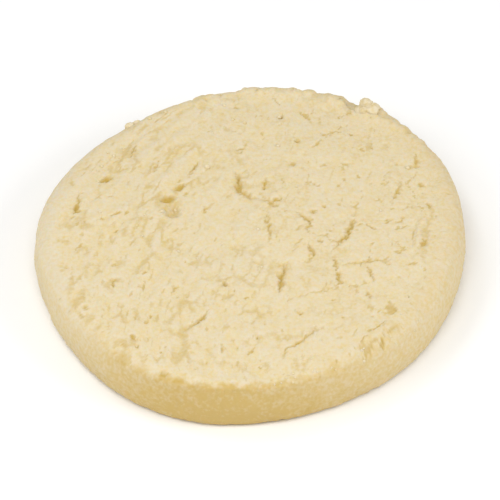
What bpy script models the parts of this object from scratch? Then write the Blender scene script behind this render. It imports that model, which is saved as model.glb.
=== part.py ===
"""A round of shortbread: one slice of a log of dough, baked flat on its cut face.

The slice is one solid. Its top is a square grid drawn into a round, its rim and wall are rings
extruded down from that grid's edge, and one flat face closes the base that it rests on.
Everything is in metres, +Z is up, and the origin is the middle of the base.
"""

import math

import bmesh
import bpy
from mathutils import Vector, noise

MM = 0.001

# Driving dimensions of the slice.
DIAMETER = 58.9 * MM
THICKNESS = 8.2 * MM

# How the log was pressed out of round: each term is (turns, share of the radius, bearing in degrees).
OUT_OF_ROUND = (
    (1, 0.0117, 29.0),
    (2, 0.034, 46.0),
    (3, 0.015, 39.0),
    (4, 0.007, -20.0),
    (5, 0.0075, 30.0),
)

# The edge, seen in section. The rim is rounded in full at the two sides and least at the far
# and the near edge: RIM_SHARPEST is the share left there, and the powers say how quickly it falls.
RIM_INWARD = 2.9 * MM
RIM_DROP = 2.4 * MM
RIM_SHARPEST = 0.4
RIM_FAR_POWER = 1.5
RIM_NEAR_POWER = 8.0
FOOT_INWARD = 1.3 * MM
FOOT_RISE = 1.4 * MM
BELLY = 0.3 * MM

# The unevenness of the baked dough.
DOME = 0.4 * MM
SWELL_HEIGHT = 0.34 * MM
SWELL_LENGTH = 15.0 * MM
SWELL_ROUGHNESS = 1.0
SWELL_SPACING = 2.0
SWELL_OCTAVES = 2
WALL_WAVE_DEPTH = 0.16 * MM
WALL_WAVE_LENGTH = 9.0 * MM

# Hollows that are wide enough to be shape: (x, y, radius, depth).
HOLLOWS = (
    (-11.0 * MM, 5.3 * MM, 1.9 * MM, 0.45 * MM),
    (24.4 * MM, 1.0 * MM, 2.2 * MM, 0.25 * MM),
)

# The lump of dough that the knife dragged up on the rim.
NUB_BEARING = 56.0
NUB_INWARD = 1.0 * MM
NUB_RADIUS = 1.3 * MM
NUB_HEIGHT = 1.8 * MM

# The tongue of dough that stands a little higher along the far rim, between two bearings, and
# the shorter rises beside the lump: (bearing, spread in degrees, height).
TONGUE_FROM = 76.5
TONGUE_TO = 92.5
TONGUE_ENDS = 3.0
TONGUE_HEIGHT = 0.35 * MM
RIM_RISES = (
    (49.0, 3.5, 0.45 * MM),
    (67.5, 4.0, 0.5 * MM),
)
RISE_INWARD = 3.0 * MM

# How finely the solid is faceted.
GRID_CELLS = 48
RIM_ROWS = 3
WALL_ROWS = 3
FOOT_ROWS = 2
SHARP_CORNER = 60.0

CRUST_COLOUR = (0.79, 0.67, 0.41, 1.0)
CRUST_ROUGHNESS = 0.8


def clear_scene():
    """Removes every object, so that the slice is alone."""
    for existing in list(bpy.data.objects):
        bpy.data.objects.remove(existing)


def radius_at(bearing):
    """The slice's widest radius towards a bearing in radians."""
    stretch = sum(
        share * math.cos(turns * (bearing - math.radians(towards)))
        for turns, share, towards in OUT_OF_ROUND
    )
    return DIAMETER / 2 * (1 + stretch)


def rim_share_at(bearing):
    """How much of the full rounding the rim has towards a bearing in radians."""
    power = RIM_FAR_POWER if math.sin(bearing) > 0 else RIM_NEAR_POWER
    return 1 - (1 - RIM_SHARPEST) * abs(math.sin(bearing)) ** power


def soft_switch(value, low, high):
    """Rises from 0 at low to 1 at high, with no corners."""
    share = min(max((value - low) / (high - low), 0.0), 1.0)
    return share * share * (3 - 2 * share)


def swell_at(x, y):
    """How far the top face stands above or below the nominal thickness at a point.

    The dome adds half its height in the middle and takes half away at the edge.
    """
    place = Vector((x, y, 0)) / SWELL_LENGTH
    wave = noise.fractal(place, SWELL_ROUGHNESS, SWELL_SPACING, SWELL_OCTAVES)
    reach = math.hypot(x, y) / (DIAMETER / 2)
    height = SWELL_HEIGHT * wave + DOME * (0.5 - reach * reach)
    for hollow_x, hollow_y, radius, depth in HOLLOWS:
        away = math.hypot(x - hollow_x, y - hollow_y) / radius
        height -= depth * math.exp(-away * away)
    return height


def nub_at(x, y):
    """How high the dragged lump stands at a point on the rim."""
    bearing = math.radians(NUB_BEARING)
    reach = radius_at(bearing) - NUB_INWARD
    away = math.hypot(x - reach * math.cos(bearing), y - reach * math.sin(bearing))
    return NUB_HEIGHT * math.exp(-((away / NUB_RADIUS) ** 2))


def rim_rise_at(x, y):
    """How high the far rim's tongue and its shorter rises stand at a point."""
    bearing = math.atan2(y, x)
    degrees = math.degrees(bearing)
    inside = radius_at(bearing) - math.hypot(x, y)
    along = soft_switch(degrees, TONGUE_FROM - TONGUE_ENDS, TONGUE_FROM + TONGUE_ENDS)
    along *= soft_switch(degrees, TONGUE_TO + TONGUE_ENDS, TONGUE_TO - TONGUE_ENDS)
    height = TONGUE_HEIGHT * along
    for towards, spread, rise in RIM_RISES:
        height += rise * math.exp(-(((degrees - towards) / spread) ** 2))
    return height * soft_switch(inside, RISE_INWARD, 0.0)


def wall_wave_at(bearing, z):
    """How far the wall stands in or out of its smooth section."""
    reach = DIAMETER / 2
    place = Vector((reach * math.cos(bearing), reach * math.sin(bearing), z))
    return WALL_WAVE_DEPTH * noise.noise(place / WALL_WAVE_LENGTH)


def disc_from_square(u, v):
    """Moves a point of the square from -1 to 1 into the unit disc, edge to edge."""
    return u * math.sqrt(1 - v * v / 2), v * math.sqrt(1 - u * u / 2)


def section_rows():
    """The rings below the top face, from the rim to the base.

    Each is (rim_in, rim_down, wall_down, foot_in, foot_down): the shares of the way in and down
    the rim's rounding, down the wall, and in and down the foot's rounding.
    """
    rows = []
    for row in range(1, RIM_ROWS + 1):
        turn = math.pi / 2 * row / RIM_ROWS
        rows.append((1 - math.sin(turn), 1 - math.cos(turn), 0.0, 0.0, 0.0))
    for row in range(1, WALL_ROWS + 1):
        rows.append((0.0, 1.0, row / (WALL_ROWS + 1), 0.0, 0.0))
    for row in range(FOOT_ROWS + 1):
        turn = math.pi / 2 * row / FOOT_ROWS
        rows.append((0.0, 1.0, 1.0, 1 - math.cos(turn), math.sin(turn)))
    return rows


def ring_point(bearing, ring):
    """Where a ring of the section passes on a bearing."""
    rim_in, rim_down, wall_down, foot_in, foot_down = ring
    rounding = rim_share_at(bearing)
    wall_top = THICKNESS - RIM_DROP * rounding
    height = THICKNESS - RIM_DROP * rounding * rim_down
    height -= (wall_top - FOOT_RISE) * wall_down + FOOT_RISE * foot_down
    reach = radius_at(bearing) - RIM_INWARD * rounding * rim_in
    reach += BELLY * math.sin(math.pi * wall_down) - FOOT_INWARD * foot_in
    reach += wall_wave_at(bearing, height) * (1 - foot_down)
    x, y = reach * math.cos(bearing), reach * math.sin(bearing)
    lift = (1 - rim_down) * swell_at(x, y)
    lift += (1 - wall_down) * (nub_at(x, y) + rim_rise_at(x, y))
    return Vector((x, y, height + lift))


def top_grid(mesh):
    """Draws the top face as a square grid pulled into the round, and returns its edge."""
    made = bmesh.ops.create_grid(
        mesh, x_segments=GRID_CELLS, y_segments=GRID_CELLS, size=1.0
    )
    for corner in made["verts"]:
        u, v = disc_from_square(corner.co.x, corner.co.y)
        bearing = math.atan2(v, u)
        edge = radius_at(bearing) - RIM_INWARD * rim_share_at(bearing)
        reach = math.hypot(u, v) * edge
        x, y = reach * math.cos(bearing), reach * math.sin(bearing)
        lift = swell_at(x, y) + nub_at(x, y) + rim_rise_at(x, y)
        corner.co = Vector((x, y, THICKNESS + lift))
    return [edge for edge in mesh.edges if edge.is_boundary]


def add_ring(mesh, edge_loop, ring):
    """Extrudes the open edge into the next ring of the section, and returns the new edge."""
    made = bmesh.ops.extrude_edge_only(mesh, edges=edge_loop)
    for corner in (item for item in made["geom"] if isinstance(item, bmesh.types.BMVert)):
        corner.co = ring_point(math.atan2(corner.co.y, corner.co.x), ring)
    return [item for item in made["geom"] if isinstance(item, bmesh.types.BMEdge)]


def close_base(mesh, edge_loop):
    """Fills the last ring with the one flat face that the biscuit rests on."""
    bmesh.ops.contextual_create(mesh, geom=edge_loop)


def centre_on_base(mesh):
    """Shifts the slice sideways so that the origin is the middle of its extent."""
    xs = [corner.co.x for corner in mesh.verts]
    ys = [corner.co.y for corner in mesh.verts]
    middle = Vector(((min(xs) + max(xs)) / 2, (min(ys) + max(ys)) / 2, 0))
    bmesh.ops.translate(mesh, vec=-middle, verts=mesh.verts[:])


def shortbread_material():
    """Pale baked dough."""
    material = bpy.data.materials.new("shortbread")
    material.use_nodes = True
    shader = material.node_tree.nodes["Principled BSDF"]
    shader.inputs["Base Color"].default_value = CRUST_COLOUR
    shader.inputs["Roughness"].default_value = CRUST_ROUGHNESS
    shader.inputs["Metallic"].default_value = 0.0
    return material


def biscuit():
    """The whole slice as one object."""
    shape = bmesh.new()
    edge_loop = top_grid(shape)
    for ring in section_rows():
        edge_loop = add_ring(shape, edge_loop, ring)
    close_base(shape, edge_loop)
    centre_on_base(shape)
    bmesh.ops.recalc_face_normals(shape, faces=shape.faces[:])
    data = bpy.data.meshes.new("biscuit")
    shape.to_mesh(data)
    shape.free()
    data.shade_smooth()
    data.set_sharp_from_angle(angle=math.radians(SHARP_CORNER))
    data.materials.append(shortbread_material())
    made = bpy.data.objects.new("biscuit", data)
    bpy.context.scene.collection.objects.link(made)
    return made


clear_scene()
biscuit()
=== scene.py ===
"""The looks of one round of shortbread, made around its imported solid.

The solid gives the biscuit's place and size. This script replaces it with a finely meshed round
of the same form, whose top shows what the knife and the oven did to the dough: long streaks, torn
gaps, pits, cracks and crumbly patches. The crumbs that cling to it are a second piece. Everything
is in metres unless a docstring says millimetres, in the solid's own frame, with +Z up and the
origin in the middle of the base.
"""

import enum
import itertools
import logging
import math
from collections.abc import Iterator, Mapping, Sequence
from dataclasses import dataclass, field

import bmesh
import bpy
import numpy as np
from mathutils import Matrix, Vector, noise
from mathutils.bvhtree import BVHTree

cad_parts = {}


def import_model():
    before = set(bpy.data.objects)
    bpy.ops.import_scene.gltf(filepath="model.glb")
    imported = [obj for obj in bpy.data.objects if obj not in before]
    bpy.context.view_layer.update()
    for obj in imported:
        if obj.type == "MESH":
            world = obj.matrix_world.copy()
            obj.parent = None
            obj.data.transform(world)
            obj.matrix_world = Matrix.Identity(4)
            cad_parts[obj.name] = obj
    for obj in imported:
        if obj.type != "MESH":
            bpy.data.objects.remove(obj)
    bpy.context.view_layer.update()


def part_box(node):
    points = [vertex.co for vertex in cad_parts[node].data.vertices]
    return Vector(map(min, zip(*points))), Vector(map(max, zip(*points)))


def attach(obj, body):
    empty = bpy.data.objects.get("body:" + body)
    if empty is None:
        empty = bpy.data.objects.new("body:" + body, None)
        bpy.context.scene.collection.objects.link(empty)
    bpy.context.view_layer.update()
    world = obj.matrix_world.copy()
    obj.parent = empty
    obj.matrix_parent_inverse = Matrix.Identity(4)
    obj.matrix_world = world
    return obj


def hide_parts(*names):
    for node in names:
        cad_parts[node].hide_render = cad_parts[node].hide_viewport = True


LOG = logging.getLogger("shortbread")
MM = 0.001
Array = np.ndarray
Pair = tuple[float, float]
Colour = tuple[float, float, float]

# How much painted shade, as golden colour, the floor of a very shallow hollow gets, and how much more for
# each millimetre of depth.
SHALLOW_FLOOR_SHADE = 0.65
FLOOR_SHADE_PER_MM = 1.1


def smooth_step(low: float, high: float, values: Array) -> Array:
    """A soft switch from 0 at low to 1 at high.

    Args:
        low: Where the switch starts.
        high: Where it ends, which may lie below low.
        values: The values to switch on.

    Returns:
        The share from 0 to 1 for each value.
    """
    share = np.clip((values - low) / (high - low), 0.0, 1.0)
    return share * share * (3.0 - 2.0 * share)


def at_least(least: float, share: Array) -> Array:
    """Lifts a share that runs from 0 to 1 so that it runs from the least to 1."""
    return least + (1.0 - least) * share


def hollow_floor_shade(golden: float, depth: float) -> float:
    """How much painted shade, as golden colour, fills the floor of a pit or crack, from 0 to 1, for its
    depth in millimetres.
    """
    return golden * min(1.0, SHALLOW_FLOOR_SHADE + FLOOR_SHADE_PER_MM * depth)


def add_object(name: str, shape: bmesh.types.BMesh) -> bpy.types.Object:
    """Turns a drawn mesh into an object of that name in the scene."""
    data = bpy.data.meshes.new(name)
    shape.to_mesh(data)
    shape.free()
    made = bpy.data.objects.new(name, data)
    bpy.context.scene.collection.objects.link(made)
    return made


def direction(bearing: float, elevation: float) -> Vector:
    """The unit vector towards a bearing and an elevation in degrees."""
    turn, rise = math.radians(bearing), math.radians(elevation)
    return Vector((math.cos(turn) * math.cos(rise), math.sin(turn) * math.cos(rise), math.sin(rise)))


def aim(item: bpy.types.Object, target: Vector, away: Vector, distance: float) -> None:
    """Adds an object to the scene at a distance from a target that it looks at."""
    item.location = target + away * distance
    item.rotation_mode = "QUATERNION"
    item.rotation_quaternion = away.to_track_quat("Z", "Y")
    bpy.context.scene.collection.objects.link(item)


def store_number(data: bpy.types.Mesh, name: str, values: Array) -> None:
    """Stores one number for each vertex under a name that the finish reads."""
    layer = data.attributes.new(name, "FLOAT", "POINT")
    layer.data.foreach_set("value", values.astype(np.float32))


class DoughNoise:
    """Seeded noise over points in millimetres, the same on every run."""

    ROWS = 256
    OCTAVE_SHIFT = 17.3
    SWELL_GAIN = 1.7
    FAR_AWAY = 9.0

    def __init__(self, seed: int) -> None:
        """Draws the lattice's tables from the seed."""
        chance = np.random.default_rng(seed)
        self._order = chance.permutation(self.ROWS)
        slopes = chance.normal(size=(self.ROWS, 3))
        self._slopes = slopes / np.linalg.norm(slopes, axis=1)[:, None]
        self._offsets = chance.random((self.ROWS, 3))
        self._chances = chance.random(self.ROWS)

    def _draw(self, cells: Array) -> Array:
        """One of the tables' rows for each lattice cell."""
        last = self.ROWS - 1
        x, y, z = (cells[:, axis] & last for axis in range(3))
        order = self._order
        return order[(order[(order[x] + y) & last] + z) & last]

    def swell(self, points: Array, length: float, octaves: int = 1) -> Array:
        """Smooth hills and hollows.

        Args:
            points: The places, one row each, in millimetres.
            length: The size of the broadest hills, in millimetres.
            octaves: How many times finer hills are laid over them.

        Returns:
            The height at each point, from about -1 to 1.
        """
        total = np.zeros(len(points))
        for octave in range(octaves):
            finer = points * (2.0**octave / length) + self.OCTAVE_SHIFT * octave
            total += self._one_swell(finer) * 0.5**octave
        return total

    def _one_swell(self, points: Array) -> Array:
        """Gradient noise with hills one unit apart."""
        cell = np.floor(points).astype(int)
        inside = points - cell
        fade = inside**3 * (inside * (inside * 6.0 - 15.0) + 10.0)
        total = np.zeros(len(points))
        for corner in itertools.product((0, 1), repeat=3):
            slope = self._slopes[self._draw(cell + corner)]
            weight = np.prod(np.where(corner, fade, 1.0 - fade), axis=1)
            total += weight * ((inside - corner) * slope).sum(axis=1)
        return total * self.SWELL_GAIN

    def grains(self, points: Array, length: float) -> tuple[Array, Array, Array]:
        """Scattered grains, as distances to the nearest ones.

        Args:
            points: The places, one row each, in millimetres.
            length: The usual gap between grains, in millimetres.

        Returns:
            The distance to the nearest grain, to the second nearest, and a chance from 0 to 1
            that belongs to the nearest. Distances are in gaps.
        """
        scaled = points / length
        cell = np.floor(scaled).astype(int)
        first = np.full(len(points), self.FAR_AWAY)
        second = np.full(len(points), self.FAR_AWAY)
        chance = np.zeros(len(points))
        for step in itertools.product((-1, 0, 1), repeat=3):
            row = self._draw(cell + step)
            away = np.linalg.norm(cell + step + self._offsets[row] - scaled, axis=1)
            nearer = away < first
            second = np.where(nearer, first, np.minimum(second, away))
            chance = np.where(nearer, self._chances[row], chance)
            first = np.where(nearer, away, first)
        return first, second, chance


@dataclass(frozen=True)
class Hills:
    """One layer of noise, in millimetres: where it is read, its hills' gap and their height.

    No two layers start at the same place, so that they don't line up. With limits, it gives
    patches: 0 where the hills are lower than the first limit and 1 where they pass the second.
    """

    start: float
    gap: float
    octaves: int = 1
    height: float = 1.0
    limits: Pair | None = None

    def over(self, source: DoughNoise, points: Array, times: float = 1.0) -> Array:
        """The layer at each point, read at its start so many times over."""
        hills = source.swell(points + self.start * times, self.gap, self.octaves)
        return self.height * hills if self.limits is None else smooth_step(*self.limits, hills)


@dataclass(frozen=True)
class Spots:
    """Scattered round spots, in millimetres: where they are read and how far apart they lie.

    The reach of a spot runs from the least to that and more, in gaps, and the core is the share
    of its reach over which it is full.
    """

    start: float
    gap: float
    least: float
    more: float
    core: float = 0.0

    def over(self, source: DoughNoise, points: Array) -> tuple[Array, Array]:
        """How far inside its spot each point lies, and the spot's size, both from 0 to 1."""
        near, _, size = source.grains(points + self.start, self.gap)
        return smooth_step(1.0, self.core, near / (self.least + self.more * size)), size


class Region(enum.Enum):
    """Where on the slice a vertex lies."""

    TOP = 0
    EDGE = 1
    BASE = 2


@dataclass(frozen=True)
class Ring:
    """One ring of the section, as shares of the way round the rim, down the wall and the foot.

    It also holds how much of the top's swell reaches it, and how far it faces up, in radians.
    """

    rim_in: float = 0.0
    rim_down: float = 1.0
    wall_down: float = 0.0
    foot_in: float = 0.0
    foot_down: float = 0.0
    swell: float = 0.0
    outward_turn: float = 0.0


@dataclass(frozen=True)
class SliceForm:
    """The smooth form of the slice, the same as its solid's, in metres."""

    diameter: float = 58.9 * MM
    thickness: float = 8.2 * MM
    out_of_round: tuple[tuple[int, float, float], ...] = (
        (1, 0.0117, 29.0),
        (2, 0.034, 46.0),
        (3, 0.015, 39.0),
        (4, 0.007, -20.0),
        (5, 0.0075, 30.0),
    )
    rim_inward: float = 2.9 * MM
    rim_drop: float = 2.4 * MM
    rim_sharpest: float = 0.4
    rim_far_power: float = 1.5
    rim_near_power: float = 8.0
    foot_inward: float = 1.3 * MM
    foot_rise: float = 1.4 * MM
    belly: float = 0.3 * MM
    dome: float = 0.4 * MM
    swell_height: float = 0.34 * MM
    swell_length: float = 15.0 * MM
    swell_roughness: float = 1.0
    swell_spacing: float = 2.0
    swell_octaves: int = 2
    wall_wave_depth: float = 0.16 * MM
    wall_wave_length: float = 9.0 * MM

    def radius_at(self, bearing: float) -> float:
        """The widest radius towards a bearing in radians."""
        stretch = sum(
            share * math.cos(turns * (bearing - math.radians(towards)))
            for turns, share, towards in self.out_of_round
        )
        return self.diameter / 2 * (1 + stretch)

    def rim_share_at(self, bearing: float) -> float:
        """How broadly the rim is rounded: fully at the sides, least at the near and far edges."""
        power = self.rim_far_power if math.sin(bearing) > 0 else self.rim_near_power
        return 1 - (1 - self.rim_sharpest) * abs(math.sin(bearing)) ** power

    def swell_at(self, x: float, y: float) -> float:
        """How far the top stands above or below the nominal thickness."""
        place = Vector((x, y, 0)) / self.swell_length
        wave = noise.fractal(place, self.swell_roughness, self.swell_spacing, self.swell_octaves)
        reach = math.hypot(x, y) / (self.diameter / 2)
        return self.swell_height * wave + self.dome * (0.5 - reach * reach)

    def wall_wave_at(self, bearing: float, z: float) -> float:
        """How far the wall stands out of its smooth section."""
        reach = self.diameter / 2
        place = Vector((reach * math.cos(bearing), reach * math.sin(bearing), z))
        return self.wall_wave_depth * noise.noise(place / self.wall_wave_length)

    def rings(self, rim_rows: int, wall_rows: int, foot_rows: int) -> list[Ring]:
        """The rings below the top face, from the rim to the base.

        Args:
            rim_rows: Rings round the upper edge.
            wall_rows: Rings down the wall.
            foot_rows: Rings round the lower edge.

        Returns:
            The rings in order.
        """
        quarter = math.pi / 2
        made = []
        for row in range(1, rim_rows + 1):
            turn = quarter * row / rim_rows
            level = math.cos(turn)
            made.append(Ring(1 - math.sin(turn), 1 - level, swell=level, outward_turn=quarter - turn))
        for row in range(1, wall_rows + 1):
            made.append(Ring(wall_down=row / (wall_rows + 1)))
        for row in range(foot_rows + 1):
            turn = quarter * row / foot_rows
            foot = Ring(0, 1, 1, 1 - math.cos(turn), math.sin(turn), outward_turn=-turn)
            made.append(foot)
        return made

    def place(self, ring: Ring, bearing: float) -> Vector:
        """Where a ring passes on a bearing."""
        share = self.rim_share_at(bearing)
        wall_top = self.thickness - self.rim_drop * share
        height = self.thickness - self.rim_drop * share * ring.rim_down
        height -= (wall_top - self.foot_rise) * ring.wall_down + self.foot_rise * ring.foot_down
        reach = self.radius_at(bearing) - self.rim_inward * share * ring.rim_in
        reach += self.belly * math.sin(math.pi * ring.wall_down) - self.foot_inward * ring.foot_in
        reach += self.wall_wave_at(bearing, height) * min(1.0, height / MM)
        x, y = reach * math.cos(bearing), reach * math.sin(bearing)
        lift = ring.swell * self.swell_at(x, y) if ring.swell else 0.0
        return Vector((x, y, height + lift))


@dataclass(frozen=True)
class Pit:
    """A hole in the top, where air or a lump of butter was, in millimetres and degrees."""

    x: float
    y: float
    long: float
    wide: float
    depth: float
    bearing: float = 0.0
    golden: float = 1.0

    @property
    def painted_shade(self) -> float:
        """How much painted shade, as golden colour, its floor gets, from 0 to 1."""
        return hollow_floor_shade(self.golden, self.depth)

    def share(self, points: Array) -> Array:
        """How deep in the pit each point lies, from 0 outside it to 1 at its floor."""
        turn = math.radians(self.bearing)
        east, north = points[:, 0] - self.x, points[:, 1] - self.y
        along = (east * math.cos(turn) + north * math.sin(turn)) / self.long
        across = (north * math.cos(turn) - east * math.sin(turn)) / self.wide
        return smooth_step(1.0, 0.25, np.hypot(along, across))


@dataclass(frozen=True)
class Crack:
    """A tear in the top, along a short chain of points, in millimetres."""

    # How its width swings along it, and its section, in widths where no unit is said.
    SWING = 0.45
    QUICK_SWING = 5.1
    SLOW_SWING = 2.3
    SWING_START = 3.0
    TAPER_END = 0.02
    SPREAD = 1.1
    LEAST_SPREAD_MM = 0.04
    LIP_AWAY = 2.2
    LIP_SPREAD = 2.0
    LIP_REACH_MM = 1.5

    path: tuple[tuple[float, float], ...]
    width: float = 0.3
    depth: float = 0.35
    lip: float = 0.05
    golden: float = 1.0

    @property
    def painted_shade(self) -> float:
        """How much painted shade, as golden colour, its floor gets, from 0 to 1."""
        return hollow_floor_shade(self.golden, self.depth)

    def share(self, points: Array) -> tuple[Array, Array]:
        """How deep in the crack each point lies, and how far up its raised lip.

        Args:
            points: The places, one row each, in millimetres.

        Returns:
            The depth's share and the lip's share, each from 0 to 1.
        """
        ends = np.array(self.path)
        lengths = np.linalg.norm(np.diff(ends, axis=0), axis=1)
        whole, run = lengths.sum(), 0.0
        nearest = np.full(len(points), np.inf)
        side = np.zeros(len(points))
        travelled = np.zeros(len(points))
        for start, end, length in zip(ends[:-1], ends[1:], lengths):
            way = (end - start) / length
            off = points[:, :2] - start
            along = np.clip(off @ way, 0.0, length)
            away = np.linalg.norm(off - along[:, None] * way, axis=1)
            nearer = away < nearest
            nearest = np.where(nearer, away, nearest)
            side = np.where(nearer, off[:, 0] * way[1] - off[:, 1] * way[0], side)
            travelled = np.where(nearer, run + along, travelled)
            run += length
        way_along = np.clip(travelled / whole, self.TAPER_END, 1.0 - self.TAPER_END)
        taper = np.sqrt(np.sin(math.pi * way_along))
        quick = np.sin(self.QUICK_SWING * travelled + self.SWING_START * self.width)
        uneven = 1.0 + self.SWING * quick * np.sin(self.SLOW_SWING * travelled)
        spread = self.SPREAD * self.width * taper * uneven + self.LEAST_SPREAD_MM
        depth = np.exp(-((nearest / spread) ** 2)) * taper
        up_lip = (side / self.width - self.LIP_AWAY) / self.LIP_SPREAD
        lip = np.exp(-(up_lip**2)) * taper
        return depth, lip * (nearest < self.LIP_REACH_MM)


PITS = (
    Pit(-11.6, 6.7, 1.5, 1.05, 0.62, 25.0),
    Pit(-10.6, 4.1, 1.8, 1.45, 0.8, 110.0, 0.42),
    Pit(-9.7, 8.9, 1.15, 0.85, 0.34, 30.0),
    Pit(-1.3, 16.4, 0.9, 0.5, 0.4, 20.0),
    Pit(-3.4, -10.2, 0.75, 0.45, 0.55, 100.0),
    Pit(-20.1, 10.7, 1.45, 0.95, 0.42, 40.0),
    Pit(-22.4, -14.6, 0.45, 0.3, 0.3),
    Pit(-15.9, -20.3, 0.9, 0.6, 0.25, 110.0),
    Pit(-15.3, -21.9, 0.6, 0.4, 0.2, 80.0),
    Pit(9.9, -2.0, 0.4, 0.35, 0.4),
    Pit(10.4, 5.0, 0.45, 0.35, 0.32),
    Pit(1.2, -20.4, 0.35, 0.3, 0.35),
    Pit(12.6, -16.7, 0.32, 0.3, 0.32),
    Pit(6.6, 18.3, 0.6, 0.35, 0.38, 60.0),
    Pit(4.4, 23.3, 0.9, 0.35, 0.35, 85.0),
    Pit(14.0, 19.9, 0.4, 0.3, 0.38),
    Pit(-11.7, -26.9, 0.9, 0.5, 0.2, 100.0),
    Pit(23.9, -1.8, 1.0, 0.5, 0.25, 85.0),
    Pit(24.9, 5.8, 0.9, 0.4, 0.25, 100.0),
    Pit(-24.2, 4.8, 1.0, 0.65, 0.26, 70.0),
    Pit(-19.4, 7.0, 0.35, 0.3, 0.25),
    Pit(-18.7, 3.5, 0.8, 0.45, 0.3, 10.0),
    Pit(-20.5, 2.7, 0.35, 0.3, 0.22),
    Pit(-18.6, 0.0, 0.45, 0.35, 0.25),
    Pit(-14.3, -7.9, 0.45, 0.35, 0.22),
    Pit(-13.4, -16.5, 0.5, 0.35, 0.22, 90.0),
    Pit(-12.2, -23.1, 0.4, 0.35, 0.2),
    Pit(8.7, 4.1, 0.5, 0.35, 0.3),
    Pit(2.1, 8.5, 0.4, 0.35, 0.25),
    Pit(23.9, 9.7, 0.9, 0.75, 0.18),
    Pit(15.6, 8.1, 0.3, 0.3, 0.2),
    Pit(16.8, 17.6, 1.5, 0.9, 0.15, 80.0, 0.6),
    Pit(19.1, 17.8, 1.4, 1.0, 0.13, 70.0, 0.5),
    Pit(6.0, 13.6, 1.0, 0.7, 0.17, 60.0),
    Pit(7.5, 12.6, 0.3, 0.25, 0.2),
    Pit(-23.1, -16.0, 0.9, 0.5, 0.16, 110.0),
    Pit(1.2, -25.9, 0.3, 0.25, 0.2),
    Pit(4.5, -27.0, 0.3, 0.25, 0.2),
    Pit(11.4, -24.4, 0.3, 0.25, 0.2),
    Pit(-1.9, 25.0, 0.35, 0.3, 0.25),
    Pit(11.5, -5.6, 0.3, 0.25, 0.22),
)

CRACKS = (
    Crack(((-2.3, 12.6), (-1.6, 10.7), (-1.7, 8.8), (-0.4, 7.3), (1.2, 6.4)), 0.4, 0.55),
    Crack(((1.6, 6.4), (3.0, 5.6), (4.1, 4.9)), 0.26, 0.34),
    Crack(((2.2, 10.9), (2.1, 9.2), (2.0, 8.3)), 0.22, 0.3),
    Crack(((4.6, 7.3), (3.9, 6.6), (3.2, 5.6)), 0.3, 0.32),
    Crack(((4.9, -6.0), (4.5, -8.4), (4.3, -10.1), (3.7, -12.0)), 0.3, 0.55),
    Crack(((-5.5, -14.9), (-6.1, -16.4), (-7.3, -17.6), (-8.7, -19.0)), 0.24, 0.45),
    Crack(((14.6, 4.0), (14.1, 1.6), (13.3, -0.6), (12.2, -2.2), (11.5, -3.4), (11.0, -4.2)), 0.18, 0.44),
    Crack(((17.0, -4.0), (15.5, -5.9), (13.0, -6.5)), 0.15, 0.3),
    Crack(((11.4, -4.4), (11.9, -7.1), (12.4, -9.8), (11.4, -11.4)), 0.17, 0.32),
    Crack(((15.8, -6.1), (16.7, -7.9), (17.2, -9.8)), 0.14, 0.26),
    Crack(((18.1, -18.9), (17.8, -20.6), (18.0, -22.4)), 0.16, 0.3),
    Crack(((5.9, -15.0), (6.8, -15.8), (7.5, -15.7)), 0.16, 0.28),
    Crack(((8.8, -17.8), (8.9, -19.1), (7.2, -20.8), (5.0, -22.6), (4.3, -24.6)), 0.18, 0.28),
    Crack(((6.4, 4.2), (7.3, 2.9), (8.4, 2.2), (7.8, -0.6)), 0.22, 0.34),
    Crack(((8.1, -2.2), (8.6, -4.8), (7.6, -6.1)), 0.24, 0.38),
    Crack(((2.1, 4.7), (2.4, 1.7), (2.9, -0.2), (2.4, -2.6)), 0.19, 0.27),
    Crack(((21.2, 10.8), (20.6, 8.3), (19.5, 5.5)), 0.17, 0.26),
    Crack(((15.9, 1.9), (16.8, 1.2), (17.8, 0.5)), 0.15, 0.24),
    Crack(((-12.6, 15.0), (-13.0, 13.4), (-13.6, 11.8)), 0.18, 0.3),
    Crack(((-6.6, 14.6), (-7.9, 12.8), (-8.7, 11.3)), 0.16, 0.28),
    Crack(((-15.7, 18.0), (-16.1, 16.6), (-16.7, 15.3)), 0.16, 0.26),
    Crack(((-23.6, 8.3), (-24.1, 5.0), (-24.9, 2.4)), 0.2, 0.26),
    Crack(((-18.5, -8.8), (-18.8, -10.8)), 0.17, 0.26),
    Crack(((-14.4, -9.4), (-14.9, -11.4)), 0.16, 0.24),
    Crack(((-10.2, -10.2), (-10.6, -12.0)), 0.16, 0.22),
    Crack(((-6.1, 5.4), (-6.3, 3.8)), 0.15, 0.2),
    Crack(((10.3, 18.6), (9.4, 17.4), (8.4, 16.4)), 0.2, 0.2),
    Crack(((15.9, -11.3), (16.2, -12.3), (16.7, -12.9)), 0.15, 0.22),
    Crack(((21.5, 3.4), (20.9, 2.4), (19.7, 2.0)), 0.18, 0.24),
    Crack(((25.0, 6.6), (25.3, 3.8), (24.4, 1.2), (24.0, -2.4), (23.8, -6.2)), 0.42, 0.19, 0.2, 0.58),
    Crack(((0.8, -22.2), (-0.4, -23.9)), 0.18, 0.2),
    Crack(((-3.6, -21.4), (-4.1, -24.0)), 0.18, 0.2),
    Crack(((22.9, 16.4), (23.5, 14.6), (23.3, 12.9)), 0.26, 0.2),
)


@dataclass(frozen=True)
class KnifeSweep:
    """The arcs that the knife drew over the top, about a middle outside the slice, in millimetres."""

    middle_x: float = 39.0
    middle_y: float = -22.0
    usual_reach: float = 58.0

    def unroll(self, points: Array) -> Array:
        """Lays the arcs out straight.

        Args:
            points: The places, one row each, in millimetres.

        Returns:
            For each place, how far along its arc and how far across the arcs it lies, and 0.
        """
        east, north = points[:, 0] - self.middle_x, points[:, 1] - self.middle_y
        along = np.arctan2(-north, -east) * self.usual_reach
        return np.stack([along, np.hypot(east, north), 0 * east], axis=1)


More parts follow.
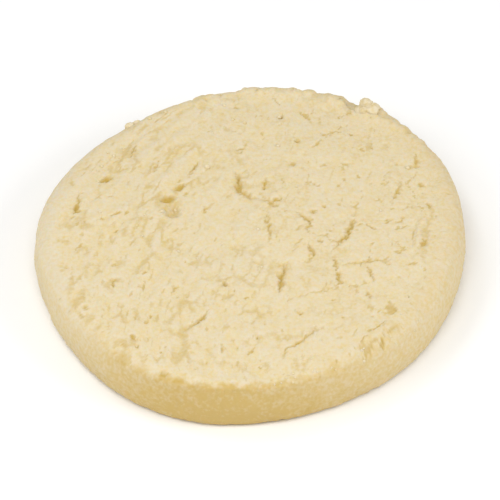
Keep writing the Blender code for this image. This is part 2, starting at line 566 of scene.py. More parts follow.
@dataclass(frozen=True)
class TopMarks:
    """The relief of the top, in millimetres.

    The knife dragged the left of the top and left the right plain. Every range says where a soft
    switch is 0 and where it is 1, and every shade says how much painted shade, as golden colour, fills
    the floor of a mark.
    """

    sweep: KnifeSweep = field(default_factory=KnifeSweep)
    swell: DoughNoise = field(default_factory=lambda: DoughNoise(11))
    scatter: DoughNoise = field(default_factory=lambda: DoughNoise(29))

    # Where the knife dragged, and how its marks are bent: each bend is (length, reach).
    drag_range: Pair = (12.0, -8.0)
    drag_slant: float = 0.3
    plain_share: float = 0.25
    plain_squash: float = 0.7
    plain_lean: float = 72.0
    ragged_bends: tuple[Pair, ...] = ((0.8, 0.25), (2.5, 0.25))
    soft_bend: Pair = (5.0, 0.45)
    bend_starts: Pair = (3.1, 41.7)
    block_gap: float = 0.6
    block_shift: float = 0.34

    # Long rolls, ledges and low hills.
    streak_long: float = 7.0
    streak_wide: float = 1.7
    streak_height: float = 0.168
    streak_ripple: float = 0.3
    ledge_long: float = 9.0
    ledge_wide: float = 3.6
    ledge_height: float = 0.07
    ledge_levels: Hills = Hills(71.0, 1.0, height=1.9)
    ledge_break: Pair = (0.8, 1.0)
    ledge_patches: Hills = Hills(13.0, 4.0, limits=(-0.1, 0.4))
    hills: Hills = Hills(0.0, 4.2, 2, height=0.07)

    # Lumps pressed together, the seams between them, bumps and crumbs.
    lump_long: float = 3.6
    lump_wide: float = 1.5
    lump_height: float = 0.05
    lump_step: float = 0.35
    lump_start: float = 5.0
    plain_lump_start: float = 91.0
    pillow_range: Pair = (0.0, 0.85)
    seam_depth: float = 0.03
    seam_range: Pair = (0.3, 0.02)
    seam_shade: float = 0.5
    open_patches: Hills = Hills(133.0, 3.0, 2, limits=(-0.25, 0.45))
    open_plain: float = 0.45
    closed_seam: float = 0.05
    closed_pillow: float = 0.4
    bump_long: float = 1.9
    bump_wide: float = 1.2
    bump_height: float = 0.07
    bump_dragged: float = 0.4
    bump_hills: Hills = Hills(83.0, 1.0)
    crumbs: Spots = Spots(0.0, 0.8, 0.6, 0.4)
    crumb_height: float = 0.015
    crumb_least: float = 0.3
    crumb_patches: Hills = Hills(211.0, 7.0, 2, limits=(0.0, 0.6))

    # How low and how sunken a place is among these: painted shade, as butter and golden colour, darkens
    # the low and sunken places.
    low_shade_range: Pair = (0.1, -0.14)
    sunk_shade_range: Pair = (-0.1, -0.26)
    sunk_shade: float = 0.33

    # Short gaps torn open, in two sizes.
    dash_long: float = 2.6
    dash_wide: float = 0.62
    dash_depth: float = 0.072
    dash_shade: float = 0.62
    dash_hills: Hills = Hills(37.0, 1.0, 2)
    dash_plain_hills: Hills = Hills(137.0, 1.0, 2)
    dash_level: float = -0.47
    dash_plain_level: float = 0.03
    dash_patches: Hills = Hills(19.0, 5.0, height=0.08)
    dash_range: Pair = (0.0, -0.3)
    dash_strength: float = 0.65
    dash_strength_hills: Hills = Hills(57.0, 1.9, height=0.6)
    dash_strength_limits: Pair = (0.15, 1.0)
    fine_dash_size: float = 0.62
    fine_dash_depth: float = 0.4
    fine_dash_shade: float = 0.3

    # Nicks, pores and crackle. The nicks' reach is (the least, how much more the largest has).
    nick_long: float = 3.0
    nick_wide: float = 1.6
    nick_plain: float = 0.75
    nick_depth: float = 0.12
    nick_shade: float = 0.95
    nick_reach: Pair = (0.09, 0.15)
    nick_range: Pair = (0.6, 0.98)
    nick_core: float = 0.25
    nick_start: float = 33.0
    plain_nick_start: float = 63.0
    pores: Spots = Spots(57.0, 1.9, 0.06, 0.13)
    pore_depth: float = 0.16
    pore_shade: float = 0.9
    pore_range: Pair = (0.45, 0.8)
    crackle_gap: float = 4.2
    crackle_start: float = 271.0
    crackle_depth: float = 0.12
    crackle_shade: float = 0.75
    crackle_lost: float = 0.75
    crackle_runs: Hills = Hills(61.0, 2.4, 2, limits=(0.2, 0.5))
    crackle_width: float = 0.085
    crackle_width_hills: Hills = Hills(29.0, 0.9, height=0.8)

    def relief(self, points: Array) -> tuple[Array, Array, Array]:
        """Works out the top's height, and how low and how hollow each place is.

        Args:
            points: The places on the top, one row each, in millimetres.

        Returns:
            The height over the smooth form in millimetres, how low each place lies among the
            lumps round it, which is painted as buttery shade, and how much painted shade, as golden
            colour, fills its tears, pits and cracks, both from 0 to 1.
        """
        flat = points * (1.0, 1.0, 0.0)
        ragged = flat
        for length, reach in self.ragged_bends:
            ragged = ragged + self._drift(flat, length, reach)
        soft = flat + self._drift(flat, *self.soft_bend)
        dragged = smooth_step(*self.drag_range, flat[:, 0] + self.drag_slant * flat[:, 1])
        unrolled = self.sweep.unroll(soft)
        torn = self.sweep.unroll(ragged)

        plain = ragged * (1.0, self.plain_squash, 1.0)
        lumps, seams = self._lumps(torn, plain, flat, dragged)
        height = self._streaks(unrolled, dragged) + self._ledges(unrolled, dragged)
        height += self._crumbly(ragged) + self.lump_height * lumps - self.seam_depth * seams
        height += self._bumps(torn, plain, dragged)
        # The low and sunken places and the seams get painted shade.
        low = smooth_step(*self.low_shade_range, height)
        sunk = self.sunk_shade * smooth_step(*self.sunk_shade_range, height)
        hollow_shade = np.maximum(sunk, self.seam_shade * seams)
        height += self.hills.over(self.swell, flat)

        broken = ragged + self._blocks(flat)
        for depth, painted_shade, share in self._tears(unrolled, self._lean(soft), broken, ragged, dragged):
            height -= depth * share
            hollow_shade = np.maximum(hollow_shade, painted_shade * share)
        for pit in PITS:
            share = pit.share(broken)
            height -= pit.depth * share
            hollow_shade = np.maximum(hollow_shade, pit.painted_shade * share)
        for crack in CRACKS:
            share, lip = crack.share(broken)
            height += crack.lip * lip - crack.depth * share
            hollow_shade = np.maximum(hollow_shade, crack.painted_shade * share)
        return height, low, np.clip(hollow_shade, 0.0, 1.0)

    def _tears(
        self, unrolled: Array, leaning: Array, broken: Array, ragged: Array, dragged: Array
    ) -> Iterator[tuple[float, float, Array]]:
        """Gives the scattered tears one kind after another.

        Args:
            unrolled: The places, laid out along the knife's arcs.
            leaning: The places, turned the way that marks lean where less dragged.
            broken: The places, shifted crumb by crumb.
            ragged: The places, bent raggedly.
            dragged: How strongly the knife dragged each place, from 0 to 1.

        Yields:
            The depth of a kind of tear, the painted shade in its floor, and each place's share of them.
        """
        fine = self.fine_dash_size
        yield self.dash_depth, self.dash_shade, self._dashes(unrolled, leaning, dragged, 1.0)
        shallow = self.fine_dash_depth * self.dash_depth
        yield shallow, self.fine_dash_shade, self._dashes(unrolled, leaning, dragged, fine)
        yield self.nick_depth, self.nick_shade, self._nicks(broken, dragged)
        kept = 1.0 - self.crackle_lost * dragged
        yield self.crackle_depth, self.crackle_shade, self._crackle(broken) * kept
        yield self.pore_depth, self.pore_shade, self._pores(ragged)

    def _drift(self, points: Array, length: float, reach: float) -> Array:
        """A sideways shift that bends straight marks, at most about the reach."""
        shifts = [self.swell.swell(points + start, length, 2) for start in self.bend_starts]
        return np.stack([*shifts, np.zeros(len(points))], axis=1) * reach

    def _blocks(self, points: Array) -> Array:
        """A sideways shift of each crumb as one block, so that tears get angular edges."""
        _, _, east = self.scatter.grains(points, self.block_gap)
        _, _, north = self.swell.grains(points, self.block_gap)
        return np.stack([east - 0.5, north - 0.5, np.zeros(len(points))], axis=1) * self.block_shift

    def _lean(self, points: Array) -> Array:
        """Turns the top so that the marks on its less dragged side run along the first axis."""
        lean = math.radians(self.plain_lean)
        along = points[:, 0] * math.cos(lean) + points[:, 1] * math.sin(lean)
        across = points[:, 1] * math.cos(lean) - points[:, 0] * math.sin(lean)
        return np.stack([along, across, points[:, 2]], axis=1)

    def _streaks(self, unrolled: Array, dragged: Array) -> Array:
        """Long soft rolls along the knife's arcs, with ripples half as long over them."""
        stretched = unrolled / (self.streak_long, self.streak_wide, 1.0)
        ripples = self.swell.swell(stretched, 0.5, 1)
        rolls = self.swell.swell(stretched, 1.0, 1) + self.streak_ripple * ripples
        return self.streak_height * at_least(self.plain_share, dragged) * rolls

    def _ledges(self, unrolled: Array, dragged: Array) -> Array:
        """Long torn ledges, each rising slowly to a broken edge that fades at its ends."""
        stretched = unrolled / (self.ledge_long, self.ledge_wide, 1.0)
        level = self.ledge_levels.over(self.swell, stretched)
        rise = level - np.floor(level)
        tooth = rise - smooth_step(*self.ledge_break, rise)
        where = self.ledge_patches.over(self.swell, unrolled)
        return self.ledge_height * where * at_least(self.plain_share, dragged) * tooth

    def _bumps(self, torn: Array, plain: Array, dragged: Array) -> Array:
        """Soft small bumps, plainest where the knife dragged least."""
        stretched = torn / (self.bump_long, self.bump_wide, 1.0)
        drawn = self.bump_dragged * dragged * self.bump_hills.over(self.swell, stretched)
        left = (1.0 - dragged) * self.bump_hills.over(self.swell, plain / self.bump_wide)
        return self.bump_height * (drawn + left)

    def _lumps(
        self, torn: Array, plain: Array, flat: Array, dragged: Array
    ) -> tuple[Array, Array]:
        """Lumps of dough pressed together: drawn out along the arcs, or round where less dragged.

        Args:
            torn: The places, laid out along the knife's arcs.
            plain: The same places, squashed as the lumps are drawn out where less dragged.
            flat: The same places on the top.
            dragged: How strongly the knife dragged each place, from 0 to 1.

        Returns:
            How high each place stands on its lump, and the seams between lumps, from 0 to 1.
        """
        size = (self.lump_long, self.lump_wide, 1.0)
        near, next_near, chance = self.scatter.grains(torn / size + self.lump_start, 1.0)
        round_near, round_next, round_chance = self.scatter.grains(
            plain + self.plain_lump_start, self.lump_wide
        )
        gap = dragged * (next_near - near) + (1.0 - dragged) * (round_next - round_near)
        level = dragged * chance + (1.0 - dragged) * round_chance
        pillow = smooth_step(*self.pillow_range, gap)
        open_here = self.open_patches.over(self.swell, flat) * at_least(self.open_plain, dragged)
        seams = smooth_step(*self.seam_range, gap) * at_least(self.closed_seam, open_here)
        pillow = (pillow - 0.5) * at_least(self.closed_pillow, open_here)
        return pillow + self.lump_step * (level - 0.5), seams

    def _crumbly(self, points: Array) -> Array:
        """Small rounded crumbs, standing higher in patches where the dough broke."""
        dome, _ = self.crumbs.over(self.scatter, points)
        where = self.crumb_patches.over(self.swell, points)
        return self.crumb_height * at_least(self.crumb_least, where) * (dome - 0.5)

    def _dashes(self, unrolled: Array, leaning: Array, dragged: Array, size: float) -> Array:
        """Short gaps torn open between the lumps, as a share of their depth."""
        stretch = (self.dash_long * size, self.dash_wide * size, 1.0)
        drawn = self.dash_hills.over(self.swell, unrolled / stretch, size)
        left = self.dash_plain_hills.over(self.swell, leaning / stretch, size)
        low = dragged * drawn + (1.0 - dragged) * left
        level = self.dash_level - self.dash_plain_level * (1.0 - dragged)
        level = level + self.dash_patches.over(self.swell, unrolled, size)
        strength = self.dash_strength + self.dash_strength_hills.over(self.swell, unrolled, size)
        strength = np.clip(strength, *self.dash_strength_limits)
        return smooth_step(*self.dash_range, low - level) * strength

    def _nicks(self, broken: Array, dragged: Array) -> Array:
        """Short torn nicks, along the arcs where the knife dragged, as a share of their depth."""
        drawn = self.sweep.unroll(broken) / (self.nick_long, self.nick_wide, 1.0)
        left = self._lean(broken) / (self.nick_plain * self.nick_long, self.nick_wide, 1.0)
        least, more = self.nick_reach
        total = np.zeros(len(broken))
        for places, share in (
            (drawn + self.nick_start, dragged),
            (left + self.plain_nick_start, 1.0 - dragged),
        ):
            near, _, chance = self.scatter.grains(places, 1.0)
            strength = smooth_step(*self.nick_range, chance)
            reach = least + more * strength
            total += share * smooth_step(1.0, self.nick_core, near / reach) * strength
        return total

    def _pores(self, points: Array) -> Array:
        """Small holes, as a share of their depth."""
        pores, size = self.pores.over(self.scatter, points)
        return pores * smooth_step(*self.pore_range, size)

    def _crackle(self, points: Array) -> Array:
        """Broken stretches of fine angular cracks, as a share of their depth."""
        near, next_near, _ = self.scatter.grains(points + self.crackle_start, self.crackle_gap)
        wave = self.crackle_width_hills.over(self.swell, points)
        cracks = smooth_step(1.0, 0.0, (next_near - near) / (self.crackle_width * (1.0 + wave)))
        return cracks * self.crackle_runs.over(self.swell, points)


@dataclass(frozen=True)
class WallMarks:
    """The relief of the wall and the base, in millimetres."""

    waves: Hills = Hills(0.0, 2.8, 3, height=0.09)
    grain: Hills = Hills(9.0, 0.8, 2, height=0.12)
    grain_patches: Hills = Hills(51.0, 5.0, limits=(-0.3, 0.5))
    pores: Spots = Spots(0.0, 1.4, 0.06, 0.12, 0.3)
    pore_smallest: float = 0.6
    pore_depth: float = 0.18
    pore_shade: float = 0.6
    base_pores: Spots = Spots(23.0, 1.7, 0.12, 0.2, 0.25)
    base_pore_smallest: float = 0.35
    base_pore_depth: float = 0.22
    base_pore_shade: float = 0.8
    base_hills: Hills = Hills(3.0, 2.2, 3)
    base_hill_depth: float = 0.05
    swell: DoughNoise = field(default_factory=lambda: DoughNoise(43))

    def relief(self, points: Array) -> tuple[Array, Array]:
        """Works out the wall's height and how hollow each place is.

        Args:
            points: The places on the wall, one row each, in millimetres.

        Returns:
            The height over the smooth form in millimetres, and the painted shade in its pores from 0 to
            1.
        """
        pores, size = self.pores.over(self.swell, points)
        pores = pores * (size > self.pore_smallest)
        patches = self.grain_patches.over(self.swell, points)
        height = self.waves.over(self.swell, points)
        height += patches * self.grain.over(self.swell, points)
        return height - self.pore_depth * pores, self.pore_shade * pores

    def base_relief(self, points: Array) -> tuple[Array, Array]:
        """How far the base is eaten into, in millimetres, and the painted shade in its pores from 0 to 1.
        """
        pores, size = self.base_pores.over(self.swell, points)
        pores = pores * (size > self.base_pore_smallest)
        hills = np.clip(self.base_hills.over(self.swell, points), 0.0, 1.0)
        eaten = self.base_pore_depth * pores + self.base_hill_depth * hills
        return eaten, self.base_pore_shade * pores


@dataclass(frozen=True)
class Surface:
    """Where each vertex of the smooth round lies."""

    points: Array  # One row each, in millimetres.
    bearing: Array  # In radians.
    inside: Array  # How far inside the outline, in millimetres.
    turn: Array  # How far the surface faces up, in radians: a quarter turn on the top.


@dataclass(frozen=True)
class RimMarks:
    """Where the cut face ends at the rim, and what stands up along it, in millimetres."""

    # The edge of the cut face, which lies further in at the left and at the right.
    skin_band: float = 0.2
    band_left_extra: float = 2.5
    band_right_extra: float = 3.4
    band_side_power: int = 6
    band_waves: Hills = Hills(0.0, 2.6, 3, height=0.45)
    band_soft: Pair = (0.3, 0.5)
    face_turn_range: Pair = (0.0, 0.35)

    # The torn far rim. Each rise on it is (bearing in degrees, spread, height).
    far_turn: float = math.radians(16.0)
    far_range: Pair = (0.74, 0.9)
    far_inside_range: Pair = (3.6, 1.2)
    far_turn_range: Pair = (0.0, 0.6)
    far_lump: float = 0.5
    far_lump_gap: float = 1.7
    far_lump_reach: float = 0.62
    far_lump_squash: float = 0.3
    wander_degrees: Hills = Hills(0.0, 1.6, 2, height=2.0)
    tongue_from: float = 76.5
    tongue_to: float = 92.5
    tongue_ends: float = 1.6
    tongue_height: float = 0.35
    rises: tuple[tuple[float, float, float], ...] = (
        (49.0, 3.5, 0.45),
        (56.0, 2.4, 0.7),
        (61.0, 1.6, -0.2),
        (67.5, 4.0, 0.5),
    )

    # The burr over the near wall.
    burr_height: float = 0.08
    burr_inward: float = 0.4
    burr_width: float = 0.4
    burr_range: Pair = (-0.5, -0.9)
    burr_usual: float = 0.6
    burr_waves: Hills = Hills(31.0, 1.4, 2, height=0.6)
    swell: DoughNoise = field(default_factory=lambda: DoughNoise(67))

    def face_share(self, skin: Surface) -> Array:
        """How far each place belongs to the cut face, from 0 on the skin to 1 on the face."""
        east = np.cos(skin.bearing)
        sides = east**self.band_side_power
        extra = np.where(east < 0.0, self.band_left_extra, self.band_right_extra)
        edge = self.skin_band + extra * sides + self.band_waves.over(self.swell, skin.points)
        least, more = self.band_soft
        face = smooth_step(-1.0, 1.0, (skin.inside - edge) / (least + more * sides))
        return face * smooth_step(*self.face_turn_range, skin.turn)

    def stand_up(self, skin: Surface) -> Array:
        """How far the torn far rim and the burr over the near wall raise each place."""
        far = smooth_step(*self.far_range, np.sin(skin.bearing + self.far_turn))
        squashed = skin.points * (1.0, 1.0, self.far_lump_squash)
        near, _, size = self.swell.grains(squashed, self.far_lump_gap)
        lumps = np.sqrt(np.clip(1.0 - (near / self.far_lump_reach) ** 2, 0.0, 1.0)) * size
        degrees = np.degrees(skin.bearing) + self.wander_degrees.over(self.swell, skin.points)
        raised = self.far_lump * lumps * far + self.tongue_height * self._tongue(degrees)
        for towards, spread, height in self.rises:
            raised += height * np.exp(-(((degrees - towards) / spread) ** 2))
        raised *= smooth_step(*self.far_inside_range, skin.inside) * smooth_step(
            *self.far_turn_range, skin.turn
        )
        return raised + self._burr(skin)

    def _tongue(self, degrees: Array) -> Array:
        """The share of the far rim's tongue at each bearing."""
        tongue = smooth_step(-self.tongue_ends, self.tongue_ends, degrees - self.tongue_from)
        return tongue * smooth_step(self.tongue_ends, -self.tongue_ends, degrees - self.tongue_to)

    def _burr(self, skin: Surface) -> Array:
        """How far the burr over the near wall raises each place."""
        burr = np.exp(-(((skin.inside - self.burr_inward) / self.burr_width) ** 2))
        burr *= smooth_step(*self.burr_range, np.sin(skin.bearing))
        rough = self.burr_usual + self.burr_waves.over(self.swell, skin.points)
        return self.burr_height * burr * rough


@dataclass(frozen=True)
class BakeAndShade:
    """How golden the crust is, from 0 to 1, and how pale the rim is: baked on the base, the far side and
    the foot, painted shade on the near wall and by the right rim, and painted light on the left of the
    rim.
    """

    side: float = 0.05
    # Painted shade: the near wall, which faces the camera, is painted golden.
    near: float = 0.86
    near_shade_bearing: float = -97.0
    near_shade_power: int = 4
    far: float = 0.3
    foot: Pair = (0.18, 0.04)
    # Painted shade: the right rim is painted golden.
    right: float = 0.2
    right_shade_range: Pair = (0.2, 0.9)
    right_shade_inside_range: Pair = (4.6, 1.8)
    wobble: Hills = Hills(0.0, 2.4, 3, height=0.45)
    steep_middle: float = 0.85
    steep_soft: Pair = (0.65, 0.35)
    base: float = 0.42
    base_wobble: Hills = Hills(0.0, 6.0, 3, height=0.15)
    base_inside_range: Pair = (0.5, 8.0)
    base_turn_range: Pair = (-1.2, -1.5)
    # Painted light: the left of the rim is painted pale.
    left_rim_light: float = 0.6
    left_rim_light_turn_range: Pair = (0.0, 0.9)
    left_rim_light_range: Pair = (0.2, -0.6)
    deep_wall: float = 0.3
    deep_turn_range: Pair = (0.5, -0.1)
    swell: DoughNoise = field(default_factory=lambda: DoughNoise(43))

    def gold_and_shade(self, skin: Surface, thickness: float) -> Array:
        """How golden each place is: not on the top, most at the near foot, evenly on the base. It is
        baked on the base, the far side and the foot, and painted shade on the near wall and by the right
        rim.

        Args:
            skin: Where the places lie.
            thickness: How thick the slice is, in millimetres.

        Returns:
            The gold of each place.
        """
        east, north = np.cos(skin.bearing), np.sin(skin.bearing)
        # Painted shade on the wall that faces the camera.
        facing = np.cos(skin.bearing - math.radians(self.near_shade_bearing))
        near = np.clip(facing, 0.0, 1.0) ** self.near_shade_power
        wobble = self.wobble.over(self.swell, skin.points)
        widest, narrower = self.steep_soft
        soft = widest - narrower * near
        middle = self.steep_middle
        steep = smooth_step(middle + soft, middle - soft, skin.turn + wobble)
        # Painted shade by the right rim.
        right = self.right * smooth_step(*self.right_shade_range, east)
        right *= smooth_step(*self.right_shade_inside_range, skin.inside)
        # More golden towards the foot, and more so on the near side, where it is painted shade.
        usual, nearer = self.foot
        foot = smooth_step(thickness, 0.0, skin.points[:, 2]) * (usual + nearer * near)
        far = self.far * np.clip(north, 0.0, 1.0)
        sides = right + steep * (self.side + self.near * near + far + foot)
        base = self.base + self.base_wobble.over(self.swell, skin.points)
        under = smooth_step(*self.base_inside_range, skin.inside)
        under *= smooth_step(*self.base_turn_range, skin.turn)
        return sides + under * (base - sides)

    def rim_light_and_deep_wall(self, skin: Surface) -> Array:
        """The painted light that makes the left of the rim pale, and below 0 where the wall is steep."""
        left = smooth_step(*self.left_rim_light_range, np.cos(skin.bearing))
        pale = self.left_rim_light * smooth_step(*self.left_rim_light_turn_range, skin.turn) * left
        return pale - self.deep_wall * smooth_step(*self.deep_turn_range, skin.turn)


@dataclass
class ShortbreadRound:
    """The biscuit itself: one closed skin with the form of its solid and the relief of dough."""

    form: SliceForm = field(default_factory=SliceForm)
    top: TopMarks = field(default_factory=TopMarks)
    wall: WallMarks = field(default_factory=WallMarks)
    rim: RimMarks = field(default_factory=RimMarks)
    bake_and_shade: BakeAndShade = field(default_factory=BakeAndShade)
    cells: int = 256
    base_cells: int = 80
    base_inward: float = 0.35 * MM
    base_inside_range: Pair = (1.6, 3.0)
    base_low: float = 0.5
    flat_foot_range: Pair = (-1.57, -1.2)
    rim_rows: int = 8
    wall_rows: int = 9
    foot_rows: int = 4
    name: str = "shortbread_round"

    def build(self, low: Vector, high: Vector) -> bpy.types.Object:
        """Makes the mesh, cuts the relief into it and sets it where its solid is.

        Args:
            low: The solid's lowest corner.
            high: The solid's highest corner.

        Returns:
            The finished object, with no material yet.
        """
        shape = bmesh.new()
        turn = shape.verts.layers.float.new("turn")
        region = shape.verts.layers.int.new("region")
        self._draw_top(shape, turn)
        self._draw_edge(shape, turn, region)
        self._draw_base(shape, turn, region)
        bmesh.ops.recalc_face_normals(shape, faces=shape.faces[:])
        middle = (low + high) / 2
        own = self._middle(shape)
        bmesh.ops.translate(shape, verts=shape.verts[:], vec=Vector((middle.x, middle.y, 0)) - own)
        made = add_object(self.name, shape)
        self._cut_relief(made.data)
        made.data.shade_smooth()
        return made

    def _disc_point(self, u: float, v: float, inward: float) -> tuple[float, float]:
        """Where a point of the square from -1 to 1 lies in the round."""
        x, y = u * math.sqrt(1 - v * v / 2), v * math.sqrt(1 - u * u / 2)
        bearing = math.atan2(y, x)
        inset = inward * self.form.rim_share_at(bearing)
        reach = math.hypot(x, y) * (self.form.radius_at(bearing) - inset)
        return reach * math.cos(bearing), reach * math.sin(bearing)

    def _draw_top(self, shape: bmesh.types.BMesh, turn: bmesh.types.BMLayerItem) -> None:
        """Draws the top face as a square grid pulled into the round."""
        made = bmesh.ops.create_grid(
            shape, x_segments=self.cells, y_segments=self.cells, size=1.0
        )
        for corner in made["verts"]:
            x, y = self._disc_point(corner.co.x, corner.co.y, self.form.rim_inward)
            corner.co = Vector((x, y, self.form.thickness + self.form.swell_at(x, y)))
            corner[turn] = math.pi / 2

    def _draw_edge(
        self,
        shape: bmesh.types.BMesh,
        turn: bmesh.types.BMLayerItem,
        region: bmesh.types.BMLayerItem,
    ) -> None:
        """Extrudes the rim, the wall and the foot down from the top's edge."""
        open_edges = [edge for edge in shape.edges if edge.is_boundary]
        for ring in self.form.rings(self.rim_rows, self.wall_rows, self.foot_rows):
            made = bmesh.ops.extrude_edge_only(shape, edges=open_edges)["geom"]
            open_edges = [item for item in made if isinstance(item, bmesh.types.BMEdge)]
            for corner in (item for item in made if isinstance(item, bmesh.types.BMVert)):
                corner.co = self.form.place(ring, math.atan2(corner.co.y, corner.co.x))
                corner[turn] = ring.outward_turn
                corner[region] = Region.EDGE.value

    def _draw_base(
        self,
        shape: bmesh.types.BMesh,
        turn: bmesh.types.BMLayerItem,
        region: bmesh.types.BMLayerItem,
    ) -> None:
        """Closes the foot with a coarser grid, and fills the band between it and the last ring."""
        ring = [edge for edge in shape.edges if edge.is_boundary]
        made = bmesh.ops.create_grid(
            shape, x_segments=self.base_cells, y_segments=self.base_cells, size=1.0
        )
        inset = self.form.foot_inward + self.base_inward
        for corner in made["verts"]:
            x, y = self._disc_point(corner.co.x, corner.co.y, 0.0)
            corner.co = Vector((x, y, 0.0)) * (1 - 2 * inset / self.form.diameter)
            corner[turn] = -math.pi / 2
            corner[region] = Region.BASE.value
        inner = [
            edge
            for edge in shape.edges
            if edge.is_boundary and all(end[region] == Region.BASE.value for end in edge.verts)
        ]
        down = Vector((0, 0, -1))
        bmesh.ops.triangle_fill(shape, use_beauty=True, edges=ring + inner, normal=down)

    def _middle(self, shape: bmesh.types.BMesh) -> Vector:
        """The middle of the skin's extent sideways."""
        xs = [corner.co.x for corner in shape.verts]
        ys = [corner.co.y for corner in shape.verts]
        return Vector(((min(xs) + max(xs)) / 2, (min(ys) + max(ys)) / 2, 0))

    def _cut_relief(self, data: bpy.types.Mesh) -> None:
        """Moves each vertex out or in by the relief, and stores what the finish reads."""
        count = len(data.vertices)
        places = np.empty(count * 3)
        data.vertices.foreach_get("co", places)
        places = places.reshape(-1, 3)
        turn = np.empty(count)
        data.attributes["turn"].data.foreach_get("value", turn)
        region = np.empty(count, dtype=np.int32)
        data.attributes["region"].data.foreach_get("value", region)

        reach = np.hypot(places[:, 0], places[:, 1])
        bearing = np.arctan2(places[:, 1], places[:, 0])
        widest = np.array([self.form.radius_at(towards) for towards in bearing])
        skin = Surface(places / MM, bearing, (widest - reach) / MM, turn)

        face = self.rim.face_share(skin)
        top_height, low, top_hollow_shade = self.top.relief(skin.points)
        wall_height, wall_hollow_shade = self.wall.relief(skin.points)
        height = top_height * face + wall_height * (1 - face) + self.rim.stand_up(skin)
        hollow_shade = top_hollow_shade * face + wall_hollow_shade * (1 - face)

        outward = np.stack(
            [np.cos(turn) * np.cos(bearing), np.cos(turn) * np.sin(bearing), np.sin(turn)], axis=1
        )
        base = region == Region.BASE.value
        eaten, base_hollow_shade = self.wall.base_relief(skin.points)
        inner = smooth_step(*self.base_inside_range, skin.inside)
        height = np.where(base, -eaten * inner, height * smooth_step(*self.flat_foot_range, turn))
        moved = places + outward * height[:, None] * MM
        moved[:, 2] = np.maximum(moved[:, 2], 0.0)
        data.vertices.foreach_set("co", moved.astype(np.float32).ravel())
        # On the top the low places carry painted shade; on the skin the left of the rim carries painted
        # light.
        low = low * face - self.bake_and_shade.rim_light_and_deep_wall(skin) * (1 - face)
        store_number(data, "hollow_shade", np.where(base, base_hollow_shade * inner, hollow_shade))
        store_number(data, "low", np.where(base, self.base_low, low))
        # The golden crust: baked, with painted shade on the near wall and by the right rim.
        store_number(data, "gold_and_shade", self.bake_and_shade.gold_and_shade(skin, self.form.thickness / MM))
        data.update()


@dataclass(frozen=True)
class CrumbDrift:
    """One scatter of crumbs near the rim: where it lies, how many there are and their sizes."""

    bearing: float
    spread: float
    inward: float
    depth: float
    count: int
    smallest: float
    largest: float


@dataclass(frozen=True)
class Nub:
    """The lump that was dragged up onto the far rim. Its lumps are (east, north, up, size) in mm."""

    bearing: float = 56.5
    inward: float = 1.0 * MM
    rise: float = -0.3 * MM
    lumps: tuple[tuple[float, float, float, float], ...] = (
        (0.0, 0.0, 0.3, 1.25),
        (-0.25, 0.0, 1.0, 0.85),
        (0.75, -0.3, 0.1, 1.05),
        (-0.8, -0.1, -0.2, 0.9),
    )


